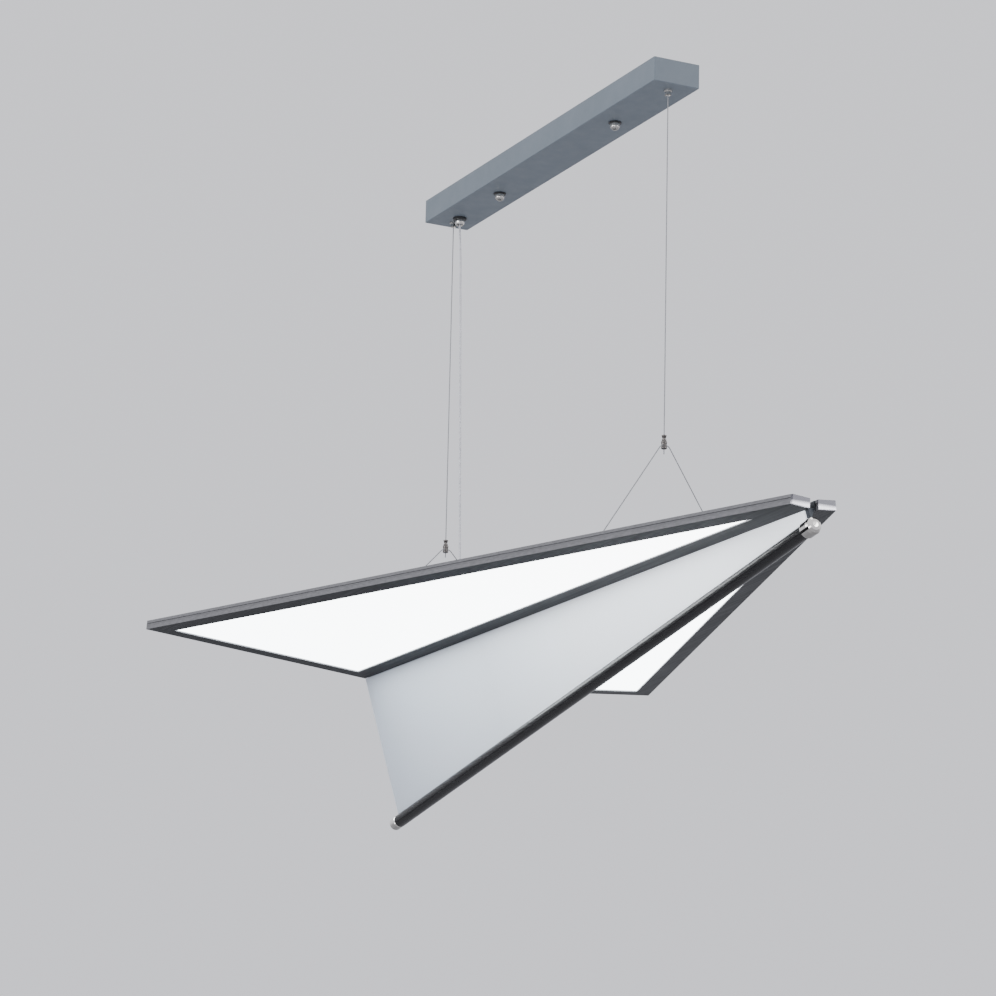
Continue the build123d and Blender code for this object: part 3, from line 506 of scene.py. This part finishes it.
# ---------------------------------------------------------------- wire grippers
def gripper(end, x):
    """Barrel with eight windows, a banded foot and a release bore above."""
    rings = [(0.65, -462.0), (2.7, -462.0), (3.4, -461.5), (3.5, -459.9), (3.2, -459.6), (3.2, -455.6),
             (3.5, -455.3), (3.5, -453.6), (2.7, -452.3), (2.7, -450.8), (2.0, -450.8), (2.0, -456.2),
             (0.65, -456.8), (0.65, -462.0)]
    sides = 32
    barrel = lathe(f"{end}_gripper_barrel", rings, sides)
    carve(barrel, lambda face: side_of(face, sides) % 4 == 0 and WINDOWS[0] < face.center.z < WINDOWS[1]
          and face.center.xy.length > 0.003, 0.00012, 0.0003)
    bore_across(barrel, 0.0007, APEX_Z, APEX_OFFSET)
    finished(barrel, f"{end}_gripper", "dark_nickel", f"{end}_gripper", place=at(x))


def release_sleeve(end, x):
    """Flared sleeve that is pressed down to free the wire."""
    rings = [(0.65, -454.4), (1.9, -454.4), (1.9, -449.2), (2.3, -448.8), (2.6, -447.6), (3.0, -446.4),
             (2.9, -445.95), (2.5, -445.8), (0.65, -445.8), (0.65, -454.4)]
    sleeve = lathe(f"{end}_release_funnel", rings, 40)
    finished(sleeve, f"{end}_release_sleeve", "dark_nickel", f"{end}_release_sleeve", place=at(x))


for end, direction in ENDS.items():
    gripper(end, direction * WIRE_X)
    release_sleeve(end, direction * WIRE_X)


# ---------------------------------------------------------------- cords
def cord_curve(name, points, diameter):
    """Smooth line through the route, with a round section."""
    data = bpy.data.curves.new(name, "CURVE")
    data.dimensions = "3D"
    spline = data.splines.new("NURBS")
    spline.points.add(len(points) - 1)
    for control, point in zip(spline.points, points):
        control.co = (*point, 1.0)
    spline.order_u = 3
    spline.use_endpoint_u = True
    data.resolution_u = 24
    data.bevel_depth = diameter / 2
    data.bevel_resolution = 6
    data.use_fill_caps = True
    curve = bpy.data.objects.new(name, data)
    bpy.context.scene.collection.objects.link(curve)
    return curve


def toward(start, end, distance):
    """Point on the run from start to end, at a distance from start."""
    run = Vector(end) - Vector(start)
    return tuple(Vector(start) + run.normalized() * distance)


def suspension_wire(end, x):
    route = [(x, 0, WIRE_TOP), (x, 0, (WIRE_TOP + WIRE_END) / 2), (x, 0, WIRE_END)]
    wire = cord_curve(f"{end}_suspension_wire", route, WIRE_DIAMETER)
    wire.data.materials.append(finishes["wire_steel"])
    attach(wire, f"{end}_wire")
    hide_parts(f"{end}_wire")


def bridle(end, x):
    """Taut wire from post to post, over the gripper's cross hole."""
    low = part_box(f"{end}_bridle")[0].z
    near_hole = 6 * WIRE_DIAMETER
    post, corner = (x, BRIDLE_FEET[end], low), (x + APEX_OFFSET, APEX_HALF, APEX_Z)
    far_corner, far_post = (x + APEX_OFFSET, -APEX_HALF, APEX_Z), (x, -BRIDLE_FEET[end], low)
    route = [post, toward(corner, post, near_hole), corner, far_corner,
             toward(far_corner, far_post, near_hole), far_post]
    wire = cord_curve(f"{end}_bridle_wire", route, WIRE_DIAMETER)
    wire.data.materials.append(finishes["wire_steel"])
    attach(wire, "lamp")
    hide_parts(f"{end}_bridle")


def mesh_of(curve):
    """The curve's shown shape as a mesh of its own."""
    graph = bpy.context.evaluated_depsgraph_get()
    return bpy.data.meshes.new_from_object(curve.evaluated_get(graph))


def power_cable():
    """Cable from the gland to the junction box."""
    upper, lower = (CABLE_X + 0.0046, 0, -0.084), (CABLE_LANDING_X - 0.0016, 0, -0.560)
    route = [(CABLE_X, 0, -0.0265), (CABLE_X, 0, -0.044), (CABLE_X + 0.0026, 0, -0.062), upper,
             toward(upper, lower, 0.022), toward(lower, upper, 0.022), lower,
             (CABLE_LANDING_X, 0, -0.582), (CABLE_LANDING_X, 0, -0.602)]
    curve = cord_curve("power_cable_line", route, CABLE_DIAMETER)
    tube = bpy.data.objects.new("power_cable_sheath", mesh_of(curve))
    bpy.context.scene.collection.objects.link(tube)
    curve.data.bevel_depth = 0.0
    line = [tuple(vertex.co) for vertex in mesh_of(curve).vertices]
    bpy.data.objects.remove(curve)
    only(tube)
    bpy.ops.object.shade_smooth_by_angle(angle=radians(40))
    tube.data.materials.clear()
    tube.data.materials.append(finishes["clear_pvc"])
    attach(tube, "power_cable")
    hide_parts("power_cable")
    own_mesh(tube)


for end, direction in ENDS.items():
    suspension_wire(end, direction * WIRE_X)
    bridle(end, direction * WIRE_X)
power_cable()


# ---------------------------------------------------------------- studio
def floor():
    clear_selection()
    bpy.ops.mesh.primitive_plane_add(size=60, location=(0, 0, FLOOR_Z))
    plane = bpy.context.object
    plane.name = "studio_floor"
    material, shader = start_finish("studio_floor", (0.60, 0.60, 0.62), 0.8)
    tint(material, shader, grain(material, 0.4), (0.58, 0.58, 0.60), (0.62, 0.62, 0.64))
    plane.data.materials.append(material)


def room_light():
    """Pale surroundings, a little lighter overhead."""
    world = bpy.data.worlds.new("room")
    bpy.context.scene.world = world
    world.use_nodes = True
    nodes, links = world.node_tree.nodes, world.node_tree.links
    place = nodes.new("ShaderNodeTexCoord")
    split = nodes.new("ShaderNodeSeparateXYZ")
    ramp = nodes.new("ShaderNodeValToRGB")
    ramp.color_ramp.elements[0].position = 0.0
    ramp.color_ramp.elements[0].color = (0.86, 0.865, 0.93, 1)
    ramp.color_ramp.elements[1].position = 0.6
    ramp.color_ramp.elements[1].color = (0.93, 0.935, 0.98, 1)
    links.new(place.outputs["Generated"], split.inputs["Vector"])
    links.new(split.outputs["Z"], ramp.inputs["Fac"])
    links.new(ramp.outputs["Color"], nodes["Background"].inputs["Color"])
    nodes["Background"].inputs["Strength"].default_value = 1.1


def softbox(name, place, target, size, power, colour=(1.0, 1.0, 1.0)):
    data = bpy.data.lights.new(name, "AREA")
    data.shape = "SQUARE"
    data.size = size
    data.energy = power
    data.color = colour
    light = bpy.data.objects.new(name, data)
    light.location = place
    light.rotation_euler = (Vector(target) - Vector(place)).to_track_quat("-Z", "Y").to_euler()
    bpy.context.scene.collection.objects.link(light)


def camera():
    """Camera below the lamp, ahead of it and to starboard, looking up."""
    yaw, pitch, roll = 2.676, 0.2614, 0.0212
    place = (4.5505045, -2.3552419, -1.8274894)
    level = Vector((cos(yaw), sin(yaw), 0))
    right = Vector((sin(yaw), -cos(yaw), 0))
    look = level * cos(pitch) + Vector((0, 0, sin(pitch)))
    up = Vector((0, 0, cos(pitch))) - level * sin(pitch)
    side = right * cos(roll) + up * sin(roll)
    top = up * cos(roll) - right * sin(roll)
    data = bpy.data.cameras.new("camera")
    data.lens = 161.48
    data.clip_end = 100.0
    eye = bpy.data.objects.new("camera", data)
    turn = Matrix((side, top, -look)).transposed()
    eye.matrix_world = Matrix.Translation(place) @ turn.to_4x4()
    bpy.context.scene.collection.objects.link(eye)
    bpy.context.scene.camera = eye


floor()
room_light()
softbox("window", (0.6, -3.6, 0.4), (0, 0, -0.4), 2.2, 60.0, (0.98, 0.99, 1.0))
softbox("far_fill", (3.4, 2.5, 0.9), (0.3, 0, -0.5), 1.6, 40.0)
softbox("camera_side", (4.6, -3.4, -1.2), (0.3, 0, -0.6), 1.2, 26.0)
softbox("overhead", (-0.6, 0.2, 2.2), (0, 0, -0.5), 2.4, 30.0)
camera()
